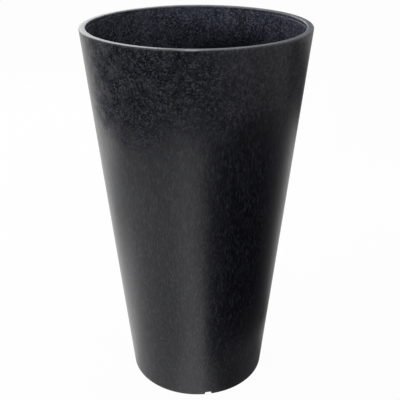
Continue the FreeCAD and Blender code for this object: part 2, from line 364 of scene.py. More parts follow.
@dataclass(frozen=True)
class CompositeFinish:
    """Charcoal composite: glossy with drag marks, worn to matt speckled grains near the rim and inside."""

    rim_level: float
    base_radius: float
    rim_radius: float
    ledge_level: float
    dust_start: float = 0.535
    dust_end: float = 0.615
    dust_lean: float = 0.028
    dust_side: float = math.radians(236.0)
    painted_light_side: float = math.radians(-2.0)
    dust_and_fill_side: float = math.radians(165.0)
    shaded_side: float = math.radians(20.0)
    painted_highlight_side: float = math.radians(60.0)
    mean_radius: float = 0.17
    deep: Colour = (0.0008, 0.0008, 0.0026)
    haze: Colour = (0.0046, 0.0049, 0.0086)
    inner_haze_and_fill: Colour = (0.038, 0.047, 0.076)
    grain: Colour = (0.140, 0.147, 0.184)
    chalk_and_light: Colour = (0.25, 0.25, 0.29)
    coarse_grain: float = 2.6 * MM
    fine_grain: float = 1.6 * MM
    mark_width: float = 2.0 * MM
    mark_length: float = 26 * MM
    fleck: float = 2.3 * MM
    drag: float = 0.30
    cloud: float = 75 * MM
    patch: float = 22 * MM
    gloss: float = 0.770
    gloss_roughness: float = 0.27
    relief_depth: float = 0.10 * MM

    INNER_MARKS_AND_HIGHLIGHTS = (
        # A pale patch, then two streaks of painted highlight on the right of the inner wall.
        PaleMark(62.0, 0.692, 7 * MM, 16 * MM, 0.20),
        PaleMark(10.0, 0.690, 2.6 * MM, 14 * MM, 0.34),
        PaleMark(6.0, 0.681, 2.4 * MM, 10 * MM, 0.34),
    )
    OUTER_MARKS_AND_GLINT = (
        # The first two are a painted glint on the front of the rim; the rest are pale marks on the wall.
        PaleMark(-101.3, 0.7115, 34 * MM, 2.8 * MM, 0.35),
        PaleMark(-101.3, 0.7115, 16 * MM, 2.8 * MM, 0.65),
        PaleMark(-146.8, 0.2890, 2.2 * MM, 5.5 * MM, 0.22),
        PaleMark(-144.6, 0.2825, 2.2 * MM, 5.0 * MM, 0.26),
        PaleMark(-139.1, 0.2732, 1.6 * MM, 2.4 * MM, 0.20),
        PaleMark(-73.1, 0.1559, 1.6 * MM, 5.0 * MM, 0.10),
        PaleMark(-80.0, 0.676, 26 * MM, 24 * MM, 0.028),
    )

    def material(self) -> Material:
        """Build the material."""
        coat = Coat("charcoal_composite")
        place = coat.place()
        x, y, level = coat.parts(place)
        across, out_x, out_y = coat.radial(x, y)
        slope = (self.rim_radius - self.base_radius) / self.rim_level
        depth = level * slope + self.base_radius - across
        inside = depth.rise(3 * MM, 6 * MM)

        def facing(side: float) -> Value:
            """1 on the side of the pot at an angle, and -1 on the other side."""
            return out_x * math.cos(side) + out_y * math.sin(side)

        def covered_by(pale_marks: Iterable[PaleMark]) -> Value:
            """How much of the surface some pale marks cover, painted highlights among them."""
            cover: Feed = 0.0
            for pale_mark in pale_marks:
                angle = math.radians(pale_mark.angle)
                aside = (y * math.cos(angle) - x * math.sin(angle)) / pale_mark.width
                above = (level - pale_mark.level) / pale_mark.height
                near = (aside * aside + above * above).rise(1.0, 0.1) * facing(angle).rise(0.0, 0.1)
                cover = near * pale_mark.strength + cover
            return cover

        # The matt speckled zone has a cloudy lower edge, and is weaker on one side.
        clouds = coat.noise(place, self.cloud, 3.0, 0.55)
        patches = coat.noise(place, self.patch, 3.0, 0.6)
        dust_edge = level + (clouds - 0.5) * 0.14 + facing(self.dust_and_fill_side) * self.dust_lean
        dusty = dust_edge.rise(self.dust_start, self.dust_end)
        crowd = facing(self.dust_side).rise(0.68, 0.96) * 0.86 + 0.14
        crowd = crowd * (patches.rise(0.30, 0.60) * 0.5 + 0.5)
        rim_rub = level.rise(self.rim_level - 3.5 * MM, self.rim_level - 0.5 * MM)
        speckled = ((dusty * crowd * (1.0 - inside) + inside) * (1.0 - rim_rub * 0.7)).unit()

        # Drag marks follow the slope of the wall.
        stretch = self.mark_width / self.mark_length
        mark_place = coat.vector(out_x * self.mean_radius, out_y * self.mean_radius, level * stretch)
        marks = coat.noise(mark_place, self.mark_width, 2.0, 0.6).rise(0.36, 0.68)
        long_marks = coat.noise(mark_place, self.mark_width * 4.0, 1.0, 0.5).rise(0.36, 0.70)

        # Mineral grains, each with a shade of its own.
        _, coarse = coat.grains(place, self.coarse_grain)
        _, fine = coat.grains(place, self.fine_grain)
        grains = (coarse ** 4.0) * 0.6 + (fine ** 4.0) * 0.4
        drag_place = coat.vector(x, y, level * self.drag)
        _, dragged = coat.grains(drag_place, self.fleck)
        mottle = coat.noise(drag_place, self.coarse_grain, 2.0, 0.6).rise(0.42, 0.70)
        flecks = (dragged ** 3.0) * 0.6 + mottle * 0.4

        cloudy = (clouds.rise(0.30, 0.74) * 0.5 + patches.rise(0.35, 0.70) * 0.4).unit()
        # Inside, the ground is paler: its matt bluish tone, and painted light that lifts the dim inside.
        ground = coat.blend(cloudy, self.deep, coat.blend(inside, self.haze, self.inner_haze_and_fill))
        streak = (flecks * (marks * 0.19 + 0.14) + long_marks * 0.008) * (1.0 - speckled)
        streaked = coat.blend(streak.unit(), ground, self.grain)
        grained = coat.blend((grains * speckled * (inside * 0.86 + 0.80)).unit(), streaked, self.grain)

        # A thin film of dust lies where there are few grains.
        bare = dusty * (1.0 - crowd) * (1.0 - inside)
        film = bare * (patches * 0.026 + coarse ** 3.0 * 0.16 + flecks * 0.06)

        # Inside, painted shade darkens the wall with depth, most of all on the right. Painted light makes it
        # paler on the left, and a painted band of light lies under the rim on the right, with a painted
        # highlight along its ledge.
        sunk = level.rise(self.rim_level - 0.012, self.rim_level - 0.085) * inside
        shade = sunk * (facing(self.shaded_side).rise(-0.3, 0.8) * 0.78 + 0.06)
        # Painted light: the inner wall is paler on the left, and a little paler all round.
        still = facing(self.dust_and_fill_side).rise(-0.3, 0.9) * 0.12 + 0.010
        # Painted light: a pale band under the rim on the right.
        near_rim = level.rise(self.rim_level - 0.070, self.rim_level)
        pale = facing(self.painted_light_side).rise(0.72, 1.0) * near_rim * 0.11
        painted_inner_light = (still + pale) * patches.rise(0.25, 0.75) * inside
        # Painted highlight: a pale line along the ledge on the right.
        ledge = (level - self.ledge_level).call("ABSOLUTE").rise(1.8 * MM, 0.6 * MM) * inside
        painted_ledge_highlight = ledge * facing(self.painted_light_side).rise(0.66, 0.95) * 0.34
        shaded = coat.blend(shade.unit(), grained, self.deep)
        # Pale marks, among them painted highlight streaks inside and a painted glint on the rim.
        pale_mark = covered_by(self.INNER_MARKS_AND_HIGHLIGHTS) * inside + covered_by(self.OUTER_MARKS_AND_GLINT) * (1.0 - inside)
        # The chalk colour goes on as dust and marks, and as painted light and highlights.
        pale_dust_and_light = film + painted_inner_light + painted_ledge_highlight + pale_mark * (fine * 0.7 + 0.6)
        dusted_and_lit = coat.blend(pale_dust_and_light.unit(), shaded, self.chalk_and_light)

        # Handling has worn the rim's edges pale, and the foot is scuffed. On one side the inner arris also
        # carries a painted highlight.
        foot_rub = level.rise(9 * MM, 1 * MM)
        rim_edge = level.rise(self.rim_level - 3.4 * MM, self.rim_level - 1.8 * MM)
        arris = depth.rise(8.5 * MM, 10.5 * MM) * rim_edge
        # Painted highlight: the rim's inner arris is paler on one side.
        painted_arris_highlight = arris * facing(self.painted_highlight_side).rise(-0.35, 0.35) * (patches.rise(0.25, 0.60) * 0.4 + 0.6)
        rub = rim_rub * patches.rise(0.30, 0.70) * 0.16 + foot_rub * patches.rise(0.45, 0.75) * 0.02
        scuff = coat.noise(place, 0.9 * MM, 2.0, 0.6).rise(0.5, 0.8)
        rubbed_and_highlit = coat.blend((rub * (scuff * 0.6 + 0.4) + painted_arris_highlight * 0.55).unit(), dusted_and_lit, self.chalk_and_light)

        relief = (marks * 0.35 * (1.0 - speckled) + grains * speckled * 0.6).unit()
        gloss = self.gloss + (flecks - 0.30) * 0.06 + (marks - 0.5) * 0.06
        return coat.finish({
            "Base Color": rubbed_and_highlit,
            "Roughness": (0.60 + speckled * 0.15 + clouds * 0.08).unit(),
            "Specular IOR Level": 0.0,
            "Coat Weight": ((1.0 - speckled * 0.90) * gloss).unit(),
            "Coat Roughness": self.gloss_roughness,
            "Normal": coat.relief(relief, self.relief_depth, 0.25),
        })


@dataclass(frozen=True)
class LaminateFinish:
    """Charcoal laminate in which the chopped glass strands print through."""

    ground: Colour = (0.012, 0.0124, 0.0135)
    strand: Colour = (0.040, 0.041, 0.044)
    strand_width: float = 1.1 * MM
    strand_length: float = 26 * MM

    def material(self) -> Material:
        """Build the material."""
        coat = Coat("glass_laminate")
        place = coat.place()
        x, y, level = coat.parts(place)
        stretch = self.strand_width / self.strand_length
        mat: Feed = 0.0
        for turn in (0.2, 1.25, 2.3):
            along = x * math.cos(turn) + y * math.sin(turn)
            aside = y * math.cos(turn) - x * math.sin(turn)
            lay = coat.vector(along * stretch, aside, level + turn)
            mat = coat.noise(lay, self.strand_width, 1.0, 0.5).rise(0.56, 0.72) * 0.45 + mat
        clouds = coat.noise(place, 0.045, 3.0, 0.6)
        colour = coat.blend((mat * 0.55 + clouds.rise(0.3, 0.8) * 0.25).unit(), self.ground, self.strand)
        return coat.finish({
            "Base Color": colour,
            "Roughness": (0.5 + clouds * 0.2).unit(),
            "Normal": coat.relief(mat.unit(), 0.25 * MM, 0.7),
        })


@dataclass(frozen=True)
class ResinFinish:
    """Dark bonding resin, tooled smooth, with a few pinholes."""

    ground: Colour = (0.008, 0.0083, 0.0095)
    haze: Colour = (0.022, 0.0225, 0.024)

    def material(self) -> Material:
        """Build the material."""
        coat = Coat("bonding_resin")
        place = coat.place()
        clouds = coat.noise(place, 0.016, 3.0, 0.6)
        gap, own = coat.grains(place, 4 * MM)
        pinhole = own.rise(0.86, 0.94) * gap.rise(0.22, 0.12)
        colour = coat.blend((clouds.rise(0.35, 0.75) * (1.0 - pinhole)).unit(), self.ground, self.haze)
        return coat.finish({
            "Base Color": colour,
            "Roughness": (0.24 + clouds * 0.18 + pinhole * 0.3).unit(),
            "Normal": coat.relief((clouds - pinhole).unit(), 0.5 * MM, 0.6),
        })


@dataclass(frozen=True)
class RubberFinish:
    """Black rubber with a faint bloom."""

    ground: Colour = (0.010, 0.010, 0.0105)
    bloom: Colour = (0.034, 0.034, 0.035)

    def material(self) -> Material:
        """Build the material."""
        coat = Coat("black_rubber")
        place = coat.place()
        clouds = coat.noise(place, 7 * MM, 4.0, 0.65)
        pores = coat.noise(place, 0.6 * MM, 1.0, 0.5)
        colour = coat.blend(clouds.rise(0.38, 0.78), self.ground, self.bloom)
        return coat.finish({
            "Base Color": colour,
            "Roughness": (0.58 + clouds * 0.2).unit(),
            "Normal": coat.relief(pores, 0.08 * MM, 0.5),
        })


@dataclass(frozen=True)
class MouldedFinish:
    """Dark grey moulded plastic with a spark-eroded grain and faint flow lines from its middle."""

    ground: Colour = (0.030, 0.031, 0.033)
    worn: Colour = (0.075, 0.076, 0.078)

    def material(self) -> Material:
        """Build the material."""
        coat = Coat("moulded_plastic")
        place = coat.place()
        x, y, _ = coat.parts(place)
        across, out_x, out_y = coat.radial(x, y)
        flow_place = coat.vector(out_x * 0.05, out_y * 0.05, across * 0.12)
        flow = coat.noise(flow_place, 4 * MM, 2.0, 0.5)
        gap, own = coat.grains(place, 0.9 * MM)
        clouds = coat.noise(place, 0.03, 3.0, 0.6)
        rub = coat.noise(place, 5 * MM, 4.0, 0.7).rise(0.55, 0.80) * clouds.rise(0.4, 0.7)
        colour = coat.blend((rub * 0.45 + flow.rise(0.4, 0.8) * 0.12).unit(), self.ground, self.worn)
        return coat.finish({
            "Base Color": colour,
            "Roughness": (0.46 + clouds * 0.12 + rub * 0.1).unit(),
            "Normal": coat.relief((gap * 0.6 + own * 0.4).unit(), 0.07 * MM, 0.6),
        })


# ---- turned and repeated forms ----

@dataclass(frozen=True)
class Corner:
    """A corner of a section: its radius and level, how round it is, and the steps that lead to it."""

    radius: float
    level: float
    rounding: float = 0.0
    steps: int = 1


@dataclass
class TurnedForm:
    """A form turned round the planter's axis from a section of straight lines and round corners."""

    name: str
    corners: Sequence[Corner]
    closed: bool = True
    segments: int = 192
    waviness: float = 0.0
    wave_size: float = 0.09

    ARC_STEPS = 6
    MERGE = 0.002 * MM

    @classmethod
    def tree(cls) -> NodeTree:
        """The Geometry Nodes tree that turns a section, which all turned pieces share."""
        known = bpy.data.node_groups.get("turned_form")
        if known:
            return known
        form = Form("turned_form")
        segments, closed = form.given("Segments", int), form.given("Closed", int)
        waviness, wave_size = form.given("Waviness"), form.given("Wave Size")

        # The section's corners are rounded, and its points are counted.
        curve = form.node("GeometryNodeMeshToCurve", {"Mesh": form.given()})
        rounding = form.node("GeometryNodeInputNamedAttribute", {"Name": "rounding"}, data_type="FLOAT")
        feeds = {"Curve": curve, "Count": cls.ARC_STEPS, "Radius": rounding}
        section = form.node("GeometryNodeFilletCurve", feeds, mode="POLY")
        sizes = form.node("GeometryNodeAttributeDomainSize", {"Geometry": section}, component="CURVE")
        count = sizes.out("Point Count")

        # A flat grid is rolled up: its X is the turn round the axis and its Y the way along the section.
        feeds = {"Size X": 1.0, "Size Y": 1.0, "Vertices X": segments + 1, "Vertices Y": count + closed}
        grid = form.node("GeometryNodeMeshGrid", feeds)
        grid_x, grid_y, _ = form.position()
        step = ((grid_y + 0.5) * (count + closed - 1)).call("ROUND").call("MODULO", count)
        feeds = {"Geometry": section, "Value": form.here(), "Index": step}
        sample = form.node("GeometryNodeSampleIndex", feeds, data_type="FLOAT_VECTOR", domain="POINT")
        radius, _, level = form.parts(sample)
        turn = (grid_x + 0.5) * math.tau
        place = form.vector(radius * turn.call("COSINE"), radius * turn.call("SINE"), level)
        rolled = form.node("GeometryNodeSetPosition", {"Geometry": grid, "Position": place})

        # A moulded wall is never quite true: it swells and shrinks a little as it goes round.
        x, y, _ = form.position()
        _, out_x, out_y = form.radial(x, y, form.OFF_AXIS)
        swell = (form.noise(form.here(), wave_size, 1.0) - 0.5) * waviness
        outward = form.vector(out_x * swell, out_y * swell, 0.0)
        return form.close(form.moved(form.merged(rolled, cls.MERGE), outward))

    def outline(self) -> Mesh:
        """The section's corners as a wire in the XZ plane, each with its rounding."""
        points: list[tuple[float, float, float]] = []
        roundings: list[float] = []
        previous = self.corners[-1]
        for corner in self.corners:
            for step in range(1, corner.steps):
                part = step / corner.steps
                radius = previous.radius + (corner.radius - previous.radius) * part
                level = previous.level + (corner.level - previous.level) * part
                points.append((radius, 0.0, level))
                roundings.append(0.0)
            points.append((corner.radius, 0.0, corner.level))
            roundings.append(corner.rounding)
            previous = corner
        edges = [(index, index + 1) for index in range(len(points) - 1)]
        if self.closed:
            edges.append((len(points) - 1, 0))
        mesh = bpy.data.meshes.new(f"{self.name}_section")
        mesh.from_pydata(points, edges, [])
        attribute = mesh.attributes.new("rounding", "FLOAT", "POINT")
        attribute.data.foreach_set("value", roundings)
        return mesh


def in_scene(name: str, data: ID) -> Object:
    """Add an object to the scene."""
    piece = bpy.data.objects.new(name, data)
    bpy.context.scene.collection.objects.link(piece)
    return piece


def modifier_with(piece: Object, tree: NodeTree, inputs: Mapping[str, object]) -> None:
    """Add a Geometry Nodes modifier and set its inputs by their identifiers.

    Args:
        piece: the object that gets the modifier.
        tree: the modifier's tree.
        inputs: the value of each input, by its name in the tree.
    """
    modifier = piece.modifiers.new(tree.name, "NODES")
    modifier.node_group = tree
    for item in tree.interface.items_tree:
        if item.item_type == "SOCKET" and item.in_out == "INPUT" and item.name in inputs:
            modifier[item.identifier] = inputs[item.name]


def settled(piece: Object) -> Object:
    """Turn the result of a piece's modifiers into its plain mesh."""
    graph = bpy.context.evaluated_depsgraph_get()
    mesh = bpy.data.meshes.new_from_object(piece.evaluated_get(graph), depsgraph=graph)
    piece.modifiers.clear()
    piece.data = mesh
    mesh.name = piece.name
    return piece


def turned_piece(form: TurnedForm, material: Material) -> Object:
    """Make an object that turns a form, with its modifier still live."""
    piece = in_scene(form.name, form.outline())
    modifier_with(piece, TurnedForm.tree(), {
        "Segments": form.segments,
        "Closed": int(form.closed),
        "Waviness": form.waviness,
        "Wave Size": form.wave_size,
        "Material": material,
    })
    return piece


def seat(piece: Object, body: Body, nodes: Iterable[str] = ()) -> None:
    """Tell the frame what a finished piece rides on and what it stands for.

    Args:
        piece: the finished piece.
        body: the body that it moves with.
        nodes: the solids that it stands for.
    """
    for node in nodes:
        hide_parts(node)
    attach(piece, body.value)
    LOG.info("%s: %d faces, rides on %s", piece.name, len(piece.data.polygons), body.value)


# ---- the planter ----

@dataclass
class PotShell:
    """The pot: outer cone, flat rim with a small ledge inside it, wall, and the notched foot ring."""

    wall: float = 9.0 * MM
    base_radius: float = 136.6 * MM
    rim_land: float = 11.8 * MM
    rim_outer_round: float = 2.5 * MM
    rim_inner_round: float = 2.0 * MM
    foot_round: float = 3.0 * MM
    lip_depth: float = 6.5 * MM
    lip_ledge: float = 1.0 * MM
    blend_level: float = 0.600
    blend_round: float = 0.2
    notch_width: float = 15.0 * MM
    notch_crown: float = 11.0 * MM
    notch_rise: float = 7.0 * MM
    notch_count: int = 4
    waviness: float = 0.5 * MM
    height: float = field(init=False)
    rim_radius: float = field(init=False)

    def __post_init__(self) -> None:
        """Read the overall size from the frame."""
        low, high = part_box("planter_shell")
        self.height = high.z
        self.rim_radius = (high.x - low.x) / 2 - self.waviness / 2

    def outer(self, level: float) -> float:
        """The outer radius at a level."""
        return self.base_radius + (self.rim_radius - self.base_radius) * level / self.height

    def inner(self, level: float) -> float:
        """The inner radius at a level below the blend to the rim."""
        return self.outer(level) - self.wall

    def section(self) -> list[Corner]:
        """The corners of the wall's section, from the foot up the outside and down the inside."""
        land = self.rim_radius - self.rim_land
        ledge = self.height - self.lip_depth
        return [
            Corner(self.base_radius, 0.0, self.foot_round, 3),
            Corner(self.rim_radius, self.height, self.rim_outer_round, 60),
            Corner(land, self.height, self.rim_inner_round, 4),
            Corner(land, ledge, 0.4 * MM, 2),
            Corner(land - self.lip_ledge, ledge, 0.3 * MM),
            Corner(self.inner(self.blend_level), self.blend_level, self.blend_round, 10),
            Corner(self.inner(0.0), 0.0, 1.0 * MM, 40),
        ]

    @staticmethod
    def notch_tree() -> NodeTree:
        """The tree that cuts the drain notches, narrower at their crown, into the foot ring."""
        form = Form("notched_foot")
        width, crown, rise = (form.given(f"Notch {name}") for name in ("Width", "Crown", "Rise"))
        size = form.vector(form.given("Reach"), width, rise * 2.0)
        feeds = {"Size": size, "Vertices X": 9, "Vertices Y": 5, "Vertices Z": 5}
        block = form.node("GeometryNodeMeshCube", feeds)
        _, y, level = form.position()
        taper = (1.0 - crown / width) * level.call("MAXIMUM", 0.0) / rise
        tapered = form.moved(block, form.vector(0.0, y * taper * -1.0, 0.0))
        aside = (form.noise(form.here(), 4 * MM) - 0.5) * 1.2 * MM
        above = (form.noise(form.here(), 5 * MM) - 0.5) * 1.0 * MM
        cutter = form.moved(tapered, form.vector(0.0, aside, above))
        copies = form.turned_copies(cutter, form.given("Notch Count", int), form.given("Foot Radius"))
        feeds = {"Mesh 1": form.given(), "Mesh 2": form.real(copies)}
        cut = form.node("GeometryNodeMeshBoolean", feeds, operation="DIFFERENCE", solver="MANIFOLD")
        return form.close(cut)

    def build(self) -> None:
        """Build the shell."""
        ledge_level = self.height - self.lip_depth
        material = CompositeFinish(self.height, self.base_radius, self.rim_radius, ledge_level).material()
        form = TurnedForm("pot_shell", self.section(), segments=480, waviness=self.waviness)
        piece = turned_piece(form, material)
        modifier_with(piece, self.notch_tree(), {
            "Notch Width": self.notch_width,
            "Notch Crown": self.notch_crown,
            "Notch Rise": self.notch_rise,
            "Reach": self.wall * 3.0,
            "Notch Count": self.notch_count,
            "Foot Radius": self.base_radius - self.wall / 2,
            "Material": material,
        })
        seat(settled(piece), Body.PLANTER, ["planter_shell"])


@dataclass
class DrainFloor:
    """The raised floor, dished to its drain hole, and the coved beads that bond it to the wall."""

    pot: PotShell
    bond_gap: float = 0.2 * MM
    dish: float = 3.0 * MM
    margin: float = 16.0 * MM
    drain_radius: float = 12.5 * MM
    boss_radius: float = 26.0 * MM
    seat_radius: float = 19.0 * MM
    seat_depth: float = 2.5 * MM
    thickness: float = 8.0 * MM
    bead_leg: float = 12.0 * MM
    bead_cove: float = 14.0 * MM
    bead_hollow: float = 0.34

    def edge(self, level: float) -> float:
        """The panel's radius at a level."""
        return self.pot.inner(level) - self.bond_gap

    def panel_section(self) -> list[Corner]:
        """The corners of the panel's section."""
        low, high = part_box("floor_panel")
        top, boss = high.z, low.z
        underside = top - self.thickness
        dish = top - self.dish
        return [
            Corner(self.drain_radius, boss, 0.6 * MM),
            Corner(self.boss_radius, boss, 2.0 * MM, 2),
            Corner(self.boss_radius, underside, 1.0 * MM),
            Corner(self.edge(underside), underside, 0.0, 10),
            Corner(self.edge(top), top),
            Corner(self.edge(top) - self.margin, top, 12 * MM),
            Corner(self.seat_radius + self.seat_depth, dish, 1.0 * MM, 10),
            Corner(self.seat_radius, dish, 0.4 * MM),
            Corner(self.seat_radius, dish - self.seat_depth, 0.3 * MM),
            Corner(self.drain_radius, dish - self.seat_depth, 0.3 * MM),
        ]

    def bead_section(self, level: float, direction: int) -> list[Corner]:
        """The corners of a bead's section.

        Args:
            level: the level of the floor's face that the bead lies on.
            direction: 1 above the floor and -1 below it.

        Returns:
            The corners.
        """
        wall_end = level + direction * self.bead_leg
        radius = self.pot.inner(level)
        sunk = self.bead_leg * self.bead_hollow
        return [
            Corner(radius - self.bead_leg, level),
            Corner(radius, level),
            Corner(self.pot.inner(wall_end), wall_end),
            Corner(radius - sunk, level + direction * sunk, self.bead_cove),
        ]

    def build(self) -> None:
        """Build the floor and its beads."""
        laminate = LaminateFinish().material()
        resin = ResinFinish().material()
        panel = turned_piece(TurnedForm("drain_floor", self.panel_section()), laminate)
        seat(settled(panel), Body.PLANTER, ["floor_panel"])
        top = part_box("floor_panel")[1].z
        for name, level, direction in (("upper", top, 1), ("lower", top - self.thickness, -1)):
            section = self.bead_section(level, direction)
            form = TurnedForm(f"resin_bead_{name}", section, segments=240, waviness=0.6 * MM)
            bead = turned_piece(form, resin)
            seat(settled(bead), Body.PLANTER, [f"floor_bead_{name}"])


@dataclass
class DrainPlug:
    """The rubber plug, with a fluted grip."""

    stem_radius: float = 12.2 * MM
    stem_length: float = 11.0 * MM
    flange_radius: float = 18.7 * MM
    flange: float = 3.5 * MM
    neck_radius: float = 5.0 * MM
    neck_length: float = 7.0 * MM
    grip_radius: float = 9.0 * MM
    flute_count: int = 12
    flute_depth: float = 0.7 * MM

    def section(self) -> list[Corner]:
        """The corners of the plug's section, from the axis at its foot to the axis at its top."""
        low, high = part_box("drain_plug")
        rest = low.z + self.stem_length
        shoulder = rest + self.flange
        grip = shoulder + self.neck_length
        return [
            Corner(0.0, low.z),
            Corner(self.stem_radius, low.z, 1.5 * MM, 4),
            Corner(self.stem_radius, rest, 0.5 * MM, 3),
            Corner(self.flange_radius, rest, 0.8 * MM, 2),
            Corner(self.flange_radius, shoulder, 1.2 * MM, 2),
            Corner(self.neck_radius, shoulder, 1.5 * MM, 3),
            Corner(self.neck_radius, grip, 1.2 * MM, 3),
            Corner(self.grip_radius, grip, 1.5 * MM, 2),
            Corner(self.grip_radius, high.z, 3.0 * MM, 6),
            Corner(0.0, high.z, 0.0, 5),
        ]

    @staticmethod
    def flute_tree() -> NodeTree:
        """The tree that presses upright flutes into the rim of the plug's grip."""
        form = Form("fluted_grip")
        x, y, level = form.position()
        across, out_x, out_y = form.radial(x, y, form.OFF_AXIS)
        wave = (y.call("ARCTAN2", x) * form.given("Flute Count")).call("COSINE") * 0.5 + 0.5
        on_grip = level.call("GREATER_THAN", form.given("Grip Level"))
        on_rim = (across / form.given("Grip Radius")).rise(0.72, 0.98)
        press = wave ** 2.0 * on_grip * on_rim * form.given("Flute Depth") * -1.0
        return form.close(form.moved(form.given(), form.vector(out_x * press, out_y * press, 0.0)))

    def build(self) -> None:
        """Build the plug."""
        rubber = RubberFinish().material()
        form = TurnedForm("rubber_plug", self.section(), closed=False, segments=144)
        piece = turned_piece(form, rubber)
        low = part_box("drain_plug")[0]
        modifier_with(piece, self.flute_tree(), {
            "Flute Count": float(self.flute_count),
            "Grip Level": low.z + self.stem_length + self.flange + self.neck_length - 0.5 * MM,
            "Grip Radius": self.grip_radius,
            "Flute Depth": self.flute_depth,
            "Material": rubber,
        })
        seat(settled(piece), Body.PLUG, ["drain_plug"])


@dataclass
class PlantingShelf:
    """The lift-out shelf: a perforated plate on ribs, with a bearing band and a collared lift hole."""

    pot: PotShell
    gap: float = 0.3 * MM
    plate: float = 5.0 * MM
    rib_depth: float = 12.0 * MM
    rib_width: float = 3.0 * MM
    rib_count: int = 16
    band: float = 4.0 * MM
    ring_radius: float = 98.0 * MM
    lift_radius: float = 30.0 * MM
    collar_wall: float = 4.0 * MM
    collar_rise: float = 6.0 * MM
    hole_radius: float = 4.0 * MM
    hole_rings: tuple[tuple[float, int], ...] = ((66.0 * MM, 1), (116.0 * MM, 1), (144.0 * MM, 2))

    HOLE_STEPS = 20
    RIM_STEPS = 192
    LIFT_STEPS = 96
    MERGE = 0.01 * MM

    @property
    def top(self) -> float:
        """The level of the plate's top."""
        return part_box("planting_shelf")[1].z - self.collar_rise

    def edge(self, level: float) -> float:
        """The shelf's radius at a level."""
        return self.pot.inner(level) - self.gap

    def plate_tree(self) -> NodeTree:
        """The tree of the plate with its rings of drain holes, and the radial ribs under it."""
        form = Form("perforated_plate")
        top, thick, radius = (form.given(name) for name in ("Top", "Thickness", "Radius"))
        hole = form.circle(self.HOLE_STEPS, form.given("Hole"))
        rim = form.circle(self.RIM_STEPS, radius)
        outlines = [rim, form.circle(self.LIFT_STEPS, form.given("Lift Hole"))]
        cells = form.given("Cells", int)
        for number, (_, per_cell) in enumerate(self.hole_rings, start=1):
            count = cells * per_cell
            reach = form.given(f"Hole Ring {number}")
            outlines.append(form.turned_copies(hole, count, reach, math.pi / count))
        outline = form.real(form.joined(*outlines))
        face = form.node("GeometryNodeFillCurve", {"Curve": outline}, mode="TRIANGLES")
        down = {"Mesh": face, "Offset": (0.0, 0.0, -1.0), "Offset Scale": thick, "Individual": False}
        walls = form.node("GeometryNodeExtrudeMesh", down, mode="FACES")
        whole = form.merged(form.joined(walls, face), self.MERGE)
        plate = form.shifted(whole, "Translation", form.vector(0.0, 0.0, top))

        start, end, depth = (form.given(f"Rib {name}") for name in ("Start", "End", "Depth"))
        size = form.vector(end - start, form.given("Rib Width"), depth)
        rib = form.node("GeometryNodeMeshCube", {"Size": size})
        ribs = form.turned_copies(rib, cells, (start + end) * 0.5)
        low = form.vector(0.0, 0.0, top - thick - depth * 0.5)
        return form.close(form.joined(plate, form.shifted(ribs, "Translation", low)))

    def rings(self) -> dict[str, list[Corner]]:
        """The sections of the turned parts: the collar, the ring rib and the bearing band."""
        top = self.top
        under = top - self.plate
        low = under - self.rib_depth
        collar = self.lift_radius + self.collar_wall
        ring_in = self.ring_radius - self.rib_width / 2
        ring_out = self.ring_radius + self.rib_width / 2
        lip = top + self.collar_rise
        return {
            "shelf_collar": [
                Corner(self.lift_radius, low, 0.5 * MM),
                Corner(collar, low, 0.5 * MM),
                Corner(collar, lip, 1.5 * MM, 3),
                Corner(self.lift_radius, lip, 1.5 * MM, 3),
            ],
            "shelf_ring_rib": [
                Corner(ring_in, low, 0.4 * MM),
                Corner(ring_out, low, 0.4 * MM),
                Corner(ring_out, under),
                Corner(ring_in, under),
            ],
            "shelf_band": [
                Corner(self.edge(low) - self.band, low, 0.6 * MM),
                Corner(self.edge(low), low, 0.8 * MM),
                Corner(self.edge(top), top, 0.8 * MM, 3),
                Corner(self.edge(top) - self.band, top),
            ],
        }

    def build(self) -> None:
        """Build the shelf."""
        moulded = MouldedFinish().material()
        plate = in_scene("shelf_plate", bpy.data.meshes.new("shelf_plate"))
        top = self.top
        inputs = {
            "Top": top,
            "Thickness": self.plate,
            "Radius": self.edge(top - self.plate) - self.band / 2,
            "Hole": self.hole_radius,
            "Lift Hole": self.lift_radius + self.collar_wall / 2,
            "Cells": self.rib_count,
            "Rib Start": self.lift_radius + self.collar_wall / 2,
            "Rib End": self.edge(top - self.plate - self.rib_depth) - self.band / 2,
            "Rib Depth": self.rib_depth,
            "Rib Width": self.rib_width,
            "Material": moulded,
        }
        inputs |= {f"Hole Ring {number}": reach for number, (reach, _) in enumerate(self.hole_rings, start=1)}
        modifier_with(plate, self.plate_tree(), inputs)
        seat(settled(plate), Body.SHELF, ["planting_shelf"])
        for name, section in self.rings().items():
            seat(settled(turned_piece(TurnedForm(name, section), moulded)), Body.SHELF)


# ---- the studio ----

@dataclass(frozen=True)
class Card:
    """A soft-edged sheet on the floor that the camera doesn't see, but that the pot's gloss does.

    It covers a sector of the floor between two bearings and two radii. Its softness is how far its straight
    edges fade to each side, in degrees, at its first and its last bearing. Brightness is 1 for white paper in
    plain light.
    """

    name: str
    bearings: tuple[float, float]
    near: float
    far: float
    cover: float
    brightness: float = 0.02
    softness: tuple[float, float] = (7.0, 7.0)


@dataclass(frozen=True)
class Lamp:
    """A soft rectangular lamp, which faces a level of the planter's axis.

    Its size is its width and height. Its brightness is 1 where its face is like white paper in plain light.
    """

    name: str
    bearing: float
    distance: float
    level: float
    aim: float
    size: tuple[float, float]
    brightness: float


